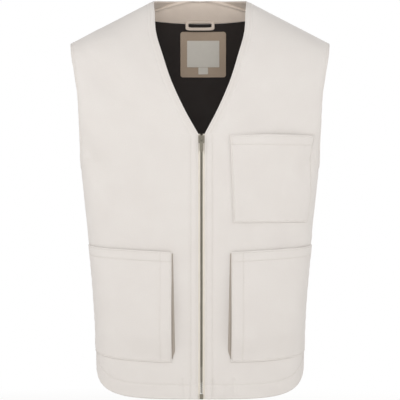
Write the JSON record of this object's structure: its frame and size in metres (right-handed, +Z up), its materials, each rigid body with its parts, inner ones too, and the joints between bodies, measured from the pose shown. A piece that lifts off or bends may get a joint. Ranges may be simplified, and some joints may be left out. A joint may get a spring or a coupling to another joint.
{
  "type": "gilet",
  "caption": "Sleeveless V-neck zip vest in cream cotton twill with a patch chest pocket, two bellows pockets and a dark back lining.",
  "frame": {"origin": "midpoint between the two shoulder points at the neck, where the vest rests on the shoulders", "axes": "+Z up, the front faces -Y, +X is the wearer's left"},
  "size_m": [0.466, 0.2561, 0.712],
  "materials": {
    "shell_twill": "matte cotton twill",
    "gusset_twill": "matte cotton twill",
    "band_twill": "matte cotton twill",
    "lining": "smooth dark lining",
    "patch_twill": "matte twill",
    "label_weave": "woven label",
    "zip_tape": "woven tape",
    "zip_metal": "aged grey metal"
  },
  "bodies": {
    "vest": {"front_left": "shell_twill", "front_right": "shell_twill", "back": "shell_twill", "neck_facing": "band_twill", "back_lining": "lining", "hanger_loop": "band_twill", "label_patch": "patch_twill", "woven_label": "label_weave", "size_tab": "label_weave", "chest_pocket": "shell_twill", "lower_pocket_left": "shell_twill", "lower_pocket_right": "shell_twill", "lower_gusset_left": "gusset_twill", "lower_gusset_right": "gusset_twill", "zip_tape_left": "zip_tape", "zip_tape_right": "zip_tape", "zip_teeth_left": "zip_metal", "zip_teeth_right": "zip_metal", "zip_stop_left": "zip_metal", "zip_stop_right": "zip_metal", "zip_box": "zip_metal", "zip_pin": "zip_metal", "zip_slider": "zip_metal"},
    "zip_pull": {"zip_puller": "zip_metal"}
  },
  "joints": [
    {"name": "puller_swing", "type": "hinge", "parent": "vest", "child": "zip_pull", "pos_m": [0.0025, -0.11965, -0.2534], "axis": [-1, 0, 0], "range_deg": [0, 165]}
  ]
}
